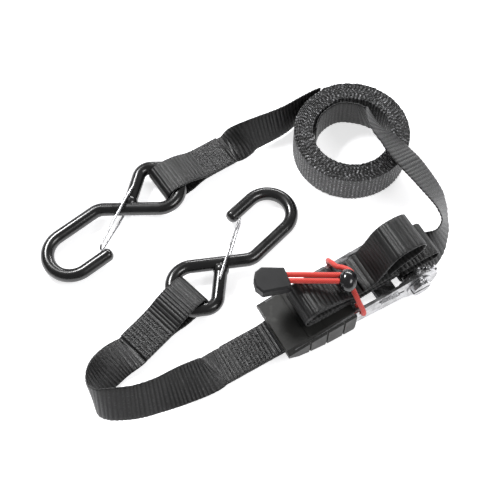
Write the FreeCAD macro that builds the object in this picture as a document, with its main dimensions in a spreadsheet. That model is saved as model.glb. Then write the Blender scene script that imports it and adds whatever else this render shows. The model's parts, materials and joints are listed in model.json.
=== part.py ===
import FreeCAD, Part
import Sketcher
import math
import os
from FreeCAD import Placement, Rotation, Vector

# Ratchet tie down: a 25.4 mm web strap with two wire hooks, a ratchet, and its tail tied by elastic.
# Frame: +Z up, the strap lies on the plane Z = 0, the origin is under the middle of the whole layout.
# Every length is in millimetres.

doc = FreeCAD.newDocument("ratchet_tie_down")
sheet = doc.addObject("Spreadsheet::Sheet", "Dims")

DRIVING = [
    ("web_width", 25.4, "webbing width"),
    ("web_thick", 1.4, "webbing thickness"),
    ("gap", 0.3, "air between soft and hard pieces"),
    ("shift_x", 3.7, "layout to origin, along X"),
    ("shift_y", 0.6, "layout to origin, along Y"),
    ("wire_dia", 9.5, "coated hook wire diameter"),
    ("hook_bend", 16.8, "centreline radius of the hook's mouth"),
    ("tip_leg", 22.7, "straight leg from the mouth to the tip"),
    ("shank_leg", 34.5, "straight leg from the mouth to the neck"),
    ("neck_turn", 38.5, "angle between shank and eye, degrees"),
    ("neck_radius", 12.0, "neck bend radius"),
    ("eye_lower", 57.5, "neck to the eye's first corner"),
    ("eye_width", 33.5, "eye width between leg centrelines"),
    ("eye_upper", 28.5, "eye's upper leg"),
    ("eye_radius", 15.0, "eye's large corner radius"),
    ("eye_close_turn", 76.6, "turn onto the closing leg, degrees"),
    ("eye_close_radius", 9.0, "closing corner radius"),
    ("eye_close_leg", 28.9, "closing leg length"),
    ("weld_radius", 5.6, "weld bead radius"),
    ("gate_wire", 1.8, "spring wire diameter"),
    ("gate_hole", 0.95, "radius of the hole for the gate's feet"),
    ("gate_reach", 50.9, "pivot to the closed end of the gate"),
    ("gate_high", 6.4, "gate wire height over the hook's plane"),
    ("gate_low", 3.2, "half height of the gate's closed end"),
    ("hook_axis_z", 9.25, "height of the wire in the strap loop"),
    ("hook_pitch", 2.1, "tilt that puts the mouth on the ground, degrees"),
    ("roll_outer", 42.5, "roll outer radius"),
    ("roll_inner", 27.4, "roll inner radius"),
    ("spindle_z", 17.0, "height of the ratchet's spindle"),
    ("spindle_radius", 7.0, "split spindle radius"),
    ("slot_half", 1.0, "half the slot between the spindle halves"),
    ("spindle_half", 24.0, "half the spindle's length"),
    ("bore_radius", 7.05, "bores that turn on the spindle"),
    ("plate", 2.0, "base and handle plate thickness"),
    ("base_inner", 13.9, "half the width inside the base"),
    ("wheel_inner", 16.1, "inner face of a ratchet wheel"),
    ("wheel_thick", 1.5, "ratchet wheel thickness"),
    ("wheel_radius", 16.3, "ratchet wheel tip radius"),
    ("tooth_depth", 3.0, "ratchet tooth depth"),
    ("tooth_gap", 4.4, "width of the gap between teeth"),
    ("arm_inner", 17.8, "half the width inside the handle arms"),
    ("grip_half", 21.2, "half the grip's width"),
    ("anchor_x", 89.0, "spindle to anchor bolt"),
    ("anchor_z", 9.0, "height of the anchor bolt"),
    ("bolt_radius", 2.5, "anchor bolt radius"),
    ("sleeve_radius", 4.0, "anchor sleeve radius"),
    ("pawl_thick", 2.0, "pawl plate thickness"),
    ("pawl_reach", 13.9, "spindle axis to the pawl's edge"),
    ("pawl_length", 15.0, "pawl plate length"),
    ("pawl_lift", 3.1, "how far the drive pawl is held off the teeth while the handle is shut"),
    ("elastic_dia", 3.5, "elastic cord diameter"),
]
for row, (alias, value, note) in enumerate(DRIVING, start=1):
    sheet.set(f"A{row}", note)
    sheet.set(f"B{row}", str(value))
    sheet.setAlias(f"B{row}", alias)
doc.recompute()


def dim(alias):
    """Value of one driving dimension."""
    return float(sheet.get(alias))


WEB = dim("web_width")
THICK = dim("web_thick")
SHIFT = Vector(dim("shift_x"), dim("shift_y"), 0)
PARTS = []


# ---------------------------------------------------------------- helpers
def polar(radius, degrees):
    angle = math.radians(degrees)
    return Vector(radius * math.cos(angle), radius * math.sin(angle), 0)


def new_body(label, placement):
    body = doc.addObject("PartDesign::Body", label)
    body.Label = label
    body.Placement = placement
    PARTS.append(body)
    return body


def origin_plane(body, role):
    return next(item for item in body.Origin.OriginFeatures if item.Role == role)


def new_sketch(body, name, role, offset="0"):
    sketch = body.newObject("Sketcher::SketchObject", name)
    sketch.AttachmentSupport = [(origin_plane(body, role), "")]
    sketch.MapMode = "FlatFace"
    sketch.setExpression("AttachmentOffset.Base.z", offset)
    return sketch


def bind(sketch, kind, *where, to):
    """Add one dimensional constraint and bind it to an expression."""
    index = sketch.addConstraint(Sketcher.Constraint(kind, *where, 1.0))
    sketch.setExpression(f"Constraints[{index}]", str(to))


def draw_polygon(sketch, points):
    """Closed polygon whose corners are pairs of expressions."""
    first = sketch.GeometryCount
    rough = [Vector(value_of(x), value_of(y), 0) for x, y in points]
    for start, end in zip(rough, rough[1:] + rough[:1]):
        sketch.addGeometry(Part.LineSegment(start, end), False)
    count = len(points)
    for i in range(count):
        before = first + (i - 1) % count
        sketch.addConstraint(Sketcher.Constraint("Coincident", before, 2, first + i, 1))
    for i, (x, y) in enumerate(points):
        for kind, value, number in (("DistanceX", x, rough[i].x), ("DistanceY", y, rough[i].y)):
            index = sketch.addConstraint(Sketcher.Constraint(kind, -1, 1, first + i, 1, number))
            sketch.setExpression(f"Constraints[{index}]", str(value))


def draw_circle(sketch, x, y, radius):
    """Circle whose centre and radius are expressions."""
    centre = Vector(value_of(x), value_of(y), 0)
    geo = sketch.addGeometry(Part.Circle(centre, Vector(0, 0, 1), value_of(radius)), False)
    for kind, value, number in (("DistanceX", x, centre.x), ("DistanceY", y, centre.y)):
        index = sketch.addConstraint(Sketcher.Constraint(kind, -1, 1, geo, 3, number))
        sketch.setExpression(f"Constraints[{index}]", str(value))
    index = sketch.addConstraint(Sketcher.Constraint("Radius", geo, value_of(radius)))
    sketch.setExpression(f"Constraints[{index}]", str(radius))


def value_of(expression):
    """Number that an expression of Dims cells gives."""
    if isinstance(expression, (int, float)):
        return float(expression)
    return float(sheet.evalExpression(expression.replace("Dims.", "")))


def pad(body, sketch, length, both_ways=False, name="Pad", backwards=False):
    feature = body.newObject("PartDesign::Pad", name)
    feature.Profile = sketch
    feature.setExpression("Length", str(length))
    feature.SideType = "Symmetric" if both_ways else "One side"
    feature.Reversed = backwards
    sketch.Visibility = False
    doc.recompute()
    return feature


def pocket(body, sketch, length, name="Pocket", backwards=False, both_ways=True):
    """Cut that must take material away."""
    before = body.Shape.Volume
    feature = body.newObject("PartDesign::Pocket", name)
    feature.Profile = sketch
    feature.setExpression("Length", str(length))
    feature.SideType = "Symmetric" if both_ways else "One side"
    feature.Reversed = backwards
    sketch.Visibility = False
    doc.recompute()
    if not body.Shape.Volume < before - 1e-3:
        raise RuntimeError(f"{body.Label}: {name} removed nothing")
    return feature


def rounded_path(points, radii):
    """Straight runs joined by tangent arcs; radii has one value per inner corner."""
    edges = []
    here = points[0]
    for i, radius in enumerate(radii, start=1):
        corner = points[i]
        back = (points[i - 1] - corner).normalize()
        ahead = (points[i + 1] - corner).normalize()
        half = back.getAngle(ahead) / 2
        reach = radius / math.tan(half)
        start = corner + back * reach
        end = corner + ahead * reach
        bisector = (back + ahead).normalize()
        middle = corner + bisector * (radius / math.sin(half) - radius)
        if (start - here).Length > 1e-3:
            edges.append(Part.LineSegment(here, start))
        edges.append(Part.Arc(start, middle, end))
        here = end
    edges.append(Part.LineSegment(here, points[-1]))
    return edges


def walk(start, heading, legs):
    """Corner points of a path walked by (length, turn in degrees) legs."""
    points = [start]
    for length, turn in legs:
        points.append(points[-1] + polar(length, heading))
        heading += turn
    return points


def check_made(shape, label, volume=None, share=0.03):
    if shape.isNull() or not shape.isValid():
        raise RuntimeError(f"{label}: bad shape")
    if volume and abs(shape.Volume / volume - 1) > share:
        raise RuntimeError(f"{label}: volume {shape.Volume:.1f}, expected {volume:.1f}")


def feature_from(label, shape, placement=Placement()):
    """Piece whose shape is computed from the sheet's values."""
    check_made(shape, label)
    feature = doc.addObject("Part::Feature", label)
    feature.Label = label
    feature.Shape = shape
    feature.Placement = placement
    PARTS.append(feature)
    return feature


# ---------------------------------------------------------------- frames
def at(x, y, z=0.0, yaw=0.0):
    """Frame of the layout, before the shift to the origin."""
    return Placement(Vector(x, y, z) + SHIFT, Rotation(Vector(0, 0, 1), yaw))


RATCHET_YAW = 30.0
RATCHET = at(103.6, -17.5, 0, RATCHET_YAW)
LONG_EYE = Vector(-66.45, 46.06, 0)
LONG_YAW = 34.4
SHORT_EYE = Vector(-36.63, -33.86, 0)
SHORT_YAW = 226.0
HOOK_YAW_LONG = -LONG_YAW
HOOK_YAW_SHORT = 188.5 - SHORT_YAW
EYE_REACH = 15.5
EYE_OFFSET = 1.6
ROLL_CENTRE = Vector(73.0, 83.2, 0)


def loop_frame(eye, yaw):
    """Frame on the ground under the wire that the strap goes round; +X runs along the strap."""
    foot = eye + polar(EYE_REACH, yaw)
    return at(foot.x, foot.y, 0, yaw)


# ---------------------------------------------------------------- hooks
def hook_corners():
    """Centreline corners, from the tip at the origin, first heading along +X."""
    bend = dim("hook_bend")
    legs = [
        (dim("tip_leg") + bend, -90),
        (2 * bend + 0.01, -90),
        (bend + dim("shank_leg"), -dim("neck_turn")),
        (dim("eye_lower"), 90),
        (dim("eye_width"), 90),
        (dim("eye_upper"), dim("eye_close_turn")),
        (dim("eye_close_leg"), 0),
    ]
    return walk(Vector(0, 0, 0), 0, legs)


CORNERS = hook_corners()
# The eye's centre in the hook's own frame, and the way the eye's legs head there.
EYE_HEADING = -180 - dim("neck_turn")
EYE_CENTRE = CORNERS[4] - polar(EYE_REACH, EYE_HEADING) + polar(16.0, EYE_HEADING + 90)


def hook_frame(eye, yaw, hook_yaw):
    """Hook frame: swung about the wire in the loop until its mouth touches the ground."""
    swing = loop_frame(eye, yaw)
    lift = Placement(Vector(0, 0, dim("hook_axis_z")), Rotation(Vector(0, 1, 0), -dim("hook_pitch")))
    to_eye = Placement(Vector(-EYE_REACH, -EYE_OFFSET, 0), Rotation(Vector(0, 0, 1), hook_yaw - EYE_HEADING))
    from_eye = Placement(EYE_CENTRE * -1, Rotation())
    return swing.multiply(lift).multiply(to_eye).multiply(from_eye)


def gate_pivot():
    """Point on the closing leg, two thirds of the way to its end."""
    return CORNERS[6] + (CORNERS[7] - CORNERS[6]) * 0.667


def make_hook(label, placement):
    body = new_body(label, placement)
    radii = [dim("hook_bend")] * 2 + [dim("neck_radius")] + [dim("eye_radius")] * 2
    radii.append(dim("eye_close_radius"))
    spine = new_sketch(body, label + "_centreline", "XY_Plane")
    for edge in rounded_path(CORNERS, radii):
        spine.addGeometry(edge, False)
    section = new_sketch(body, label + "_section", "YZ_Plane")
    draw_circle(section, 0, 0, "Dims.wire_dia / 2")
    doc.recompute()
    pipe = body.newObject("PartDesign::AdditivePipe", label + "_wire")
    pipe.Profile = section
    pipe.Spine = (spine, [f"Edge{i + 1}" for i in range(spine.GeometryCount)])
    spine.Visibility = False
    section.Visibility = False
    doc.recompute()
    bead = body.newObject("PartDesign::AdditiveSphere", label + "_weld")
    bead.setExpression("Radius", "Dims.weld_radius")
    bead.Placement = Placement(CORNERS[7], Rotation(Vector(1, 1, 0), 40))
    doc.recompute()
    tip_edges = []
    for index, edge in enumerate(bead.Shape.Edges, start=1):
        box = edge.BoundBox
        if abs(box.XMin) < 1e-3 and abs(box.XMax) < 1e-3:
            tip_edges.append(f"Edge{index}")
    tip = body.newObject("PartDesign::Fillet", label + "_tip")
    tip.Base = (bead, tip_edges)
    tip.setExpression("Radius", "Dims.wire_dia * 0.4")
    doc.recompute()
    pivot = gate_pivot()
    hole = new_sketch(body, label + "_gate_hole", "XY_Plane")
    draw_circle(hole, pivot.x, pivot.y, "Dims.gate_hole")
    pocket(body, hole, "Dims.wire_dia * 2", label + "_gate_bore")
    return body


def gate_frame(hook_placement):
    """Gate frame: +Z is the pivot, +X runs to the inside of the hook's tip."""
    tip_inside = Vector(5.7, -6.0, 0)
    pivot = gate_pivot()
    along = tip_inside - pivot
    yaw = math.degrees(math.atan2(along.y, along.x))
    return hook_placement.multiply(Placement(pivot, Rotation(Vector(0, 0, 1), yaw)))


def make_gate(label, placement):
    body = new_body(label, placement)
    high = dim("gate_high")
    low = dim("gate_low")
    reach = dim("gate_reach")
    foot = 2.2
    outline = [(0, foot), (0, high), (26, high), (reach, low), (reach, -low), (26, -high), (0, -high)]
    outline.append((0, -foot))
    spine = new_sketch(body, label + "_centreline", "XZ_Plane")
    corners = [Vector(x, y, 0) for x, y in outline]
    for edge in rounded_path(corners, [1.5, 20.0, 2.4, 2.4, 20.0, 1.5]):
        spine.addGeometry(edge, False)
    section = new_sketch(body, label + "_section", "XY_Plane", str(foot))
    draw_circle(section, 0, 0, "Dims.gate_wire / 2")
    doc.recompute()
    pipe = body.newObject("PartDesign::AdditivePipe", label + "_wire")
    pipe.Profile = section
    pipe.Spine = (spine, [f"Edge{i + 1}" for i in range(spine.GeometryCount)])
    spine.Visibility = False
    section.Visibility = False
    doc.recompute()
    return body


# ---------------------------------------------------------------- webbing
def offset_edges(edges, distance):
    """Each run and arc of a flat path, moved sideways by a distance."""
    moved = []
    for edge in edges:
        shape = edge.toShape()
        ends = [shape.valueAt(shape.FirstParameter), shape.valueAt(shape.LastParameter)]
        if isinstance(edge, Part.LineSegment):
            along = (ends[1] - ends[0]).normalize()
            side = Vector(-along.y, along.x, 0) * distance
            moved.append(Part.LineSegment(ends[0] + side, ends[1] + side))
            continue
        middle = shape.valueAt((shape.FirstParameter + shape.LastParameter) / 2)
        start = edge.value(edge.FirstParameter) if hasattr(edge, "value") else ends[0]
        if (start - ends[0]).Length > 1e-3:
            ends.reverse()
        centre = shape.Curve.Center
        turns_left = (middle - ends[0]).cross(ends[1] - middle).z > 0
        growth = -distance if turns_left else distance
        points = [point + (point - centre).normalize() * growth for point in (ends[0], middle, ends[1])]
        moved.append(Part.Arc(*points))
    return moved


def make_flat_ribbon(label, placement, points, radii, thick=None):
    """Webbing whose side view is a path in the local XZ plane; its width runs along local Y."""
    body = new_body(label, placement)
    half = (thick or THICK) / 2
    edges = rounded_path([Vector(x, z, 0) for x, z in points], radii)
    left = offset_edges(edges, half)
    right = offset_edges(edges, -half)
    sketch = new_sketch(body, label + "_side", "XZ_Plane")
    for edge in left + right:
        sketch.addGeometry(edge, False)
    sketch.addGeometry(Part.LineSegment(left[0].StartPoint, right[0].StartPoint), False)
    sketch.addGeometry(Part.LineSegment(left[-1].EndPoint, right[-1].EndPoint), False)
    pad(body, sketch, "Dims.web_width", both_ways=True, name=label + "_width")
    length = sum(edge.length() for edge in edges)
    check_made(body.Shape, label, length * 2 * half * WEB)
    return length


def smooth_curve(stations, pieces):
    """More stations on a Catmull-Rom curve through the given ones."""
    result = []
    last = len(stations) - 1
    for i in range(last):
        p0 = stations[max(i - 1, 0)]
        p1 = stations[i]
        p2 = stations[i + 1]
        p3 = stations[min(i + 2, last)]
        for step in range(pieces):
            t = step / pieces
            row = []
            for a, b, c, d in zip(p0, p1, p2, p3):
                even = 2 * b + (2 * a - 5 * b + 4 * c - d) * t**2
                odd = (c - a) * t + (3 * b - a - 3 * c + d) * t**3
                row.append((even + odd) / 2)
            result.append(row)
    result.append(list(stations[-1]))
    return result


def make_twisted_ribbon(label, stations, pieces):
    """Webbing through stations of (x, y, z, tilt): tilt turns its right edge upwards."""
    half = THICK / 2
    rows = smooth_curve(stations, pieces)
    centres = [Vector(x, y, z) + SHIFT for x, y, z, tilt in rows]
    sections = []
    for i, row in enumerate(rows):
        before = centres[max(i - 1, 0)]
        after = centres[min(i + 1, len(rows) - 1)]
        along = (after - before).normalize()
        right = Vector(along.y, -along.x, 0).normalize()
        raised = right.cross(along)
        tilt = math.radians(row[3])
        edge = (right * math.cos(tilt) + raised * math.sin(tilt)) * (WEB / 2)
        normal = along.cross(edge).normalize() * half
        centre = centres[i]
        corners = [centre + edge + normal, centre - edge + normal]
        corners += [centre - edge - normal, centre + edge - normal]
        sections.append(Part.makePolygon(corners + corners[:1]))
    shape = Part.makeLoft(sections, True, True)
    return feature_from(label, shape)


LOOP_END = 22.0
FLAP_START = 18.0
FLAP_END = 43.0
LAYER = THICK + 0.05
LONG_SLOPE = -0.0536
SHORT_SLOPE = -0.1
JOIN_Z = 6.5


def lower_layer_z(slope, along):
    """Height of the single layer next to a hook, at a distance from the hook's wire."""
    return JOIN_Z + slope * (along - FLAP_START)


def make_hook_loop(label, eye, yaw, slope, inner):
    """Sewn end: flap on top, up over the hook wire, round it and back underneath."""
    top = dim("hook_axis_z") + dim("wire_dia") / 2 + dim("gap") + THICK / 2
    low = THICK / 2
    side = [(FLAP_END, lower_layer_z(slope, FLAP_END) + LAYER)]
    side.append((FLAP_START, lower_layer_z(slope, FLAP_START) + LAYER))
    side += [(5, top), (inner, top), (inner, low), (5.5, low)]
    side += [(16, lower_layer_z(slope, 16)), (LOOP_END, lower_layer_z(slope, LOOP_END))]
    make_flat_ribbon(label, loop_frame(eye, yaw), side, [7.0, 6.0, 6.0, 5.2, 8.0, 7.0])


def patch_frame(frame, along, height, slope):
    """Frame on top of a sloping sewn patch."""
    turn = Rotation(Vector(0, 1, 0), -math.degrees(math.atan(slope)))
    return frame.multiply(Placement(Vector(along, 0, height), turn))


def make_stitching(label, placement, length):
    """Zig-zag rows of thread over a sewn patch, one solid for each stitch."""
    stitches = []
    rows = 4
    columns = 10
    inset = 2.5
    pitch_x = length / columns
    pitch_y = (WEB - 2 * inset) / rows
    thread = 0.25
    for row in range(rows):
        for column in range(columns):
            rise = 1 if column % 2 == 0 else -1
            x = pitch_x * (column + 0.5) - length / 2
            y = -WEB / 2 + inset + pitch_y * (row + 0.5)
            angle = math.degrees(math.atan2(rise * pitch_y * 0.8, pitch_x))
            reach = math.hypot(pitch_y * 0.8, pitch_x) * 0.8
            stitch = Part.makeBox(reach, 2 * thread, thread, Vector(-reach / 2, -thread, 0))
            stitch.Placement = Placement(Vector(x, y, 0), Rotation(Vector(0, 0, 1), angle))
            stitches.append(stitch)
    feature_from(label, Part.makeCompound(stitches), placement)


def loop_station(eye, yaw, slope, along):
    """Station of the single layer in line with a hook's loop."""
    point = eye + polar(EYE_REACH + along, yaw)
    return point.x, point.y, lower_layer_z(slope, along), 0


def ratchet_station(x, z, tilt):
    """Station on the ratchet's centre line."""
    point = Vector(103.6, -17.5, 0) + polar(x, RATCHET_YAW)
    return point.x, point.y, z, tilt


def make_long_run():
    """Flat under the sewn flap, then half way over on to its edge, up to the roll."""
    contact = ROLL_CENTRE + polar(dim("roll_outer") + THICK / 2 + 0.25, 119)
    lead_in = contact + polar(-7, 29)
    stations = [loop_station(LONG_EYE, LONG_YAW, LONG_SLOPE, at) for at in (LOOP_END + 0.05, 34, 43.1, 46.3)]
    stations += [
        (-8.5, 84.6, 7.8, -32),
        (-1.5, 87.6, 11.2, -56),
        (7.0, 91.5, 12.3, -63),
        (16.0, 95.9, 12.7, -68),
        (26.0, 101.7, 13.0, -74),
        (36.0, 110.0, 13.0, -82),
        (lead_in.x, lead_in.y, WEB / 2 + 0.08, -88),
        (contact.x, contact.y, WEB / 2 + 0.08, -90),
    ]
    make_twisted_ribbon("webbing_long_run", stations, 3)


def make_roll():
    body = new_body("webbing_roll", at(ROLL_CENTRE.x, ROLL_CENTRE.y))
    sketch = new_sketch(body, "roll_turns", "XY_Plane")
    draw_circle(sketch, 0, 0, "Dims.roll_outer")
    draw_circle(sketch, 0, 0, "Dims.roll_inner")
    pad(body, sketch, "Dims.web_width", name="roll_width")


def make_lead():
    """Inner turn of the roll, up over its rim, and in an arch down to the spindle."""
    stations = []
    radius = dim("roll_inner") - THICK / 2 - 1.2
    for angle in (175, 150, 125, 103):
        point = ROLL_CENTRE + polar(radius, angle)
        stations.append((point.x, point.y, WEB / 2 + 0.05, 90))
    stations += [
        (79, 106.2, 13.4, 88),
        (85.5, 100.8, 17.0, 78),
        (89.6, 92.5, 25.0, 64),
        (90.6, 83.5, 33.6, 53),
        (94.1, 74.8, 35.7, 41),
        (99.6, 67.8, 34.1, 36),
        (105.5, 60.3, 32.9, 31),
        (111.9, 52.5, 31.7, 29),
        (118.3, 44.5, 30.0, 32),
        (125.2, 35.5, 27.5, 36),
        (129.7, 29.0, 25.2, 43),
        (133.5, 21.1, 21.6, 57),
        (135.1, 12.2, 17.3, 70),
        (132.7, 4.1, 13.9, 70),
        (127.5, -2.5, 12.3, 54),
        (119.8, -8.2, 13.2, 26),
        ratchet_station(dim("spindle_radius") + 0.6, dim("spindle_z"), 0),
    ]
    make_twisted_ribbon("webbing_lead", stations, 3)


ANCHOR_LOW = 3.6
ANCHOR_SLOPE = 0.027


def anchor_layer_z(x):
    """Height of the single layer on the ratchet's centre line."""
    return ANCHOR_LOW + ANCHOR_SLOPE * (x + dim("anchor_x") + 15)


def make_short_run():
    """Away from the hook, over on its edge round the turn, and on to the anchor other face up."""
    stations = [loop_station(SHORT_EYE, SHORT_YAW, SHORT_SLOPE, at) for at in (LOOP_END + 0.05, 34, 43.1, 46.3)]
    stations += [
        (-88.5, -85.2, 4.6, 14),
        (-96.0, -94.8, 7.8, 36),
        (-100.4, -103.2, 11.2, 62),
        (-101.7, -111.0, 13.3, 86),
        (-97.2, -117.3, 15.6, 109),
        (-90.5, -118.9, 16.6, 123),
        (-80.2, -118.5, 16.8, 127),
        (-70.2, -116.5, 15.9, 128),
        (-56.8, -111.1, 13.6, 132),
        (-42.9, -103.6, 10.4, 148),
        (-27.7, -94.9, 5.6, 168),
    ]
    flat = (-145, -139.5, -125, -dim("anchor_x") - 15)
    stations += [ratchet_station(x, anchor_layer_z(x), 180) for x in flat]
    make_twisted_ribbon("webbing_short_run", stations, 3)


def make_anchor_loop():
    """Lower layer to the anchor sleeve, round it, and the flap back on top."""
    x = -dim("anchor_x")
    z = dim("anchor_z")
    round_it = dim("sleeve_radius") + dim("gap") + THICK / 2
    side = [(x - 14.95, ANCHOR_LOW), (x + round_it, z - round_it), (x + round_it, z + round_it)]
    side += [(x - 5, z + round_it), (x - 14, anchor_layer_z(x - 14) + LAYER)]
    side.append((x - 47, anchor_layer_z(x - 47) + LAYER))
    make_flat_ribbon("webbing_short_anchor_loop", RATCHET, side, [4.6, 4.6, 5.0, 5.0])


# ---------------------------------------------------------------- ratchet
def make_base():
    """Two side plates joined by a floor web, with slots for the base pawl."""
    body = new_body("base_frame", RATCHET)
    outer = "2 * (Dims.base_inner + Dims.plate)"
    side = new_sketch(body, "base_side", "XZ_Plane")
    left = "-Dims.anchor_x - 6.5"
    draw_polygon(side, [(left, 4), ("-Dims.anchor_x + 4", 1), (0, 1), (0, 15.5), (left, 15.5)])
    pad(body, side, outer, both_ways=True, name="base_block")
    cheek = new_sketch(body, "base_cheek", "XZ_Plane")
    draw_circle(cheek, 0, "Dims.spindle_z", 11)
    pad(body, cheek, outer, both_ways=True, name="base_cheeks")
    inside = new_sketch(body, "base_inside", "XZ_Plane")
    web_left = -64
    web_right = -38
    draw_polygon(inside, [
        ("-Dims.anchor_x - 12", -2), (web_left, -2), (web_left, 3), (web_right, 3), (web_right, -2),
        (20, -2), (20, 40), ("-Dims.anchor_x - 12", 40),
    ])
    pocket(body, inside, "2 * Dims.base_inner", "base_channel")
    bores = new_sketch(body, "base_bores", "XZ_Plane")
    draw_circle(bores, 0, "Dims.spindle_z", "Dims.bore_radius")
    draw_circle(bores, "-Dims.anchor_x", "Dims.anchor_z", "Dims.bolt_radius + 0.02")
    pocket(body, bores, "Dims.base_inner * 4", "base_holes")
    slot = new_sketch(body, "base_pawl_slot", "XZ_Plane")
    draw_pawl_slot(slot, 200, dim("pawl_reach") - 2.9, dim("pawl_reach") + dim("pawl_length") + 4.2)
    pocket(body, slot, "Dims.base_inner * 4", "base_pawl_slots")
    return body


def radial_box(degrees, start, end, half):
    """Corners of a bar that points at the spindle, in the ratchet's XZ plane."""
    along = polar(1, degrees)
    side = Vector(-along.y, along.x, 0)
    hub = Vector(0, dim("spindle_z"), 0)
    corners = []
    for reach, offset in ((start, -half), (end, -half), (end, half), (start, half)):
        point = hub + along * reach + side * offset
        corners.append((point.x, point.y))
    return corners


def draw_pawl_slot(sketch, degrees, start, end):
    draw_polygon(sketch, radial_box(degrees, start, end, dim("pawl_thick") / 2 + 0.12))


def make_anchor():
    x = "-Dims.anchor_x"
    bolt = new_body("anchor_bolt", RATCHET)
    shank = new_sketch(bolt, "bolt_shank", "XZ_Plane")
    draw_circle(shank, x, "Dims.anchor_z", "Dims.bolt_radius")
    pad(bolt, shank, 32.4, both_ways=True, name="bolt_length")
    head = new_sketch(bolt, "bolt_head", "XZ_Plane", "Dims.base_inner + Dims.plate + 0.05")
    draw_circle(head, x, "Dims.anchor_z", "Dims.bolt_radius * 1.7")
    pad(bolt, head, 0.6, name="bolt_head_height")
    sleeve = new_body("anchor_sleeve", RATCHET)
    tube = new_sketch(sleeve, "sleeve_tube", "XZ_Plane")
    draw_circle(tube, x, "Dims.anchor_z", "Dims.sleeve_radius")
    draw_circle(tube, x, "Dims.anchor_z", "Dims.bolt_radius + 0.05")
    pad(sleeve, tube, "2 * Dims.base_inner - 0.3", both_ways=True, name="sleeve_length")
    nut = new_body("anchor_nut", RATCHET)
    ring = new_sketch(nut, "nut_outline", "XZ_Plane", "-Dims.base_inner - Dims.plate - 0.05")
    hexagon = []
    for corner in range(6):
        point = polar(4.2, 60 * corner)
        hexagon.append((point.x - dim("anchor_x"), point.y + dim("anchor_z")))
    draw_polygon(ring, hexagon)
    pad(nut, ring, 0.6, name="nut_height", backwards=True)
    hole = new_sketch(nut, "nut_hole", "XZ_Plane")
    draw_circle(hole, x, "Dims.anchor_z", "Dims.bolt_radius + 0.02")
    pocket(nut, hole, 60, "nut_thread")


def make_wheel(label, side):
    """Ratchet wheel: a disc on the spindle with twelve gaps."""
    body = new_body(label, RATCHET)
    offset = "-Dims.wheel_inner - Dims.wheel_thick" if side > 0 else "Dims.wheel_inner"
    disc = new_sketch(body, label + "_disc", "XZ_Plane", offset)
    draw_circle(disc, 0, "Dims.spindle_z", "Dims.wheel_radius")
    draw_circle(disc, 0, "Dims.spindle_z", "Dims.spindle_radius + 0.01")
    pad(body, disc, "Dims.wheel_thick", name=label + "_blank")
    gaps = new_sketch(body, label + "_gaps", "XZ_Plane")
    inner = dim("wheel_radius") - dim("tooth_depth")
    hub = Vector(0, dim("spindle_z"), 0)
    for tooth in range(12):
        middle = 170 + 30 * tooth
        along = polar(1, middle)
        cross = Vector(-along.y, along.x, 0)
        half = dim("tooth_gap") / 2
        shape = ((inner, -half * 0.75), (inner + 6, -half * 1.25), (inner + 6, half * 1.25), (inner, half * 0.75))
        corners = []
        for reach, offset_side in shape:
            point = hub + along * reach + cross * offset_side
            corners.append((point.x, point.y))
        draw_polygon(gaps, corners)
    pocket(body, gaps, 80, label + "_teeth")


def make_spindle():
    """Two D-shaped bars, one each side of the slot that grips the web."""
    for label, sign in (("spindle_upper_half", 1), ("spindle_lower_half", -1)):
        body = new_body(label, RATCHET)
        bar = new_sketch(body, label + "_round", "XZ_Plane")
        draw_circle(bar, 0, "Dims.spindle_z", "Dims.spindle_radius")
        pad(body, bar, "2 * Dims.spindle_half", both_ways=True, name=label + "_length")
        cut = new_sketch(body, label + "_flat", "XZ_Plane")
        edge = f"Dims.spindle_z + {sign} * Dims.slot_half"
        far = f"Dims.spindle_z - {sign} * 12"
        draw_polygon(cut, [(-12, edge), (12, edge), (12, far), (-12, far)])
        pocket(body, cut, "4 * Dims.spindle_half", label + "_split")
        hole = new_sketch(body, label + "_pin_hole", "XY_Plane")
        for side in (-1, 1):
            draw_circle(hole, 0, f"{side} * (Dims.spindle_half - 2)", 0.85)
        pocket(body, hole, 120, label + "_pin_holes")


def make_spindle_keepers():
    """Thin washers and split pins that hold the handle on the spindle's ends."""
    hub = dim("spindle_z")
    outer_face = dim("arm_inner") + dim("plate")
    washers = []
    pins = []
    for side in (-1, 1):
        base = Vector(0, side * (outer_face + 0.15), hub)
        facing = Vector(0, side, 0)
        ring = Part.makeCylinder(9.5, 0.8, base, facing)
        washers.append(ring.cut(Part.makeCylinder(7.06, 2, base - facing * 0.5, facing)))
        y = side * (dim("spindle_half") - 2)
        shank = Part.makeCylinder(0.8, 17, Vector(0, y, hub - 8.6))
        eye = Part.makeTorus(1.6, 0.7, Vector(0, y, hub + 9.5), Vector(0, 1, 0))
        pins.append(shank.fuse(eye))
    feature_from("spindle_washers", Part.makeCompound(washers), RATCHET)
    feature_from("split_pins", Part.makeCompound(pins), RATCHET)


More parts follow.
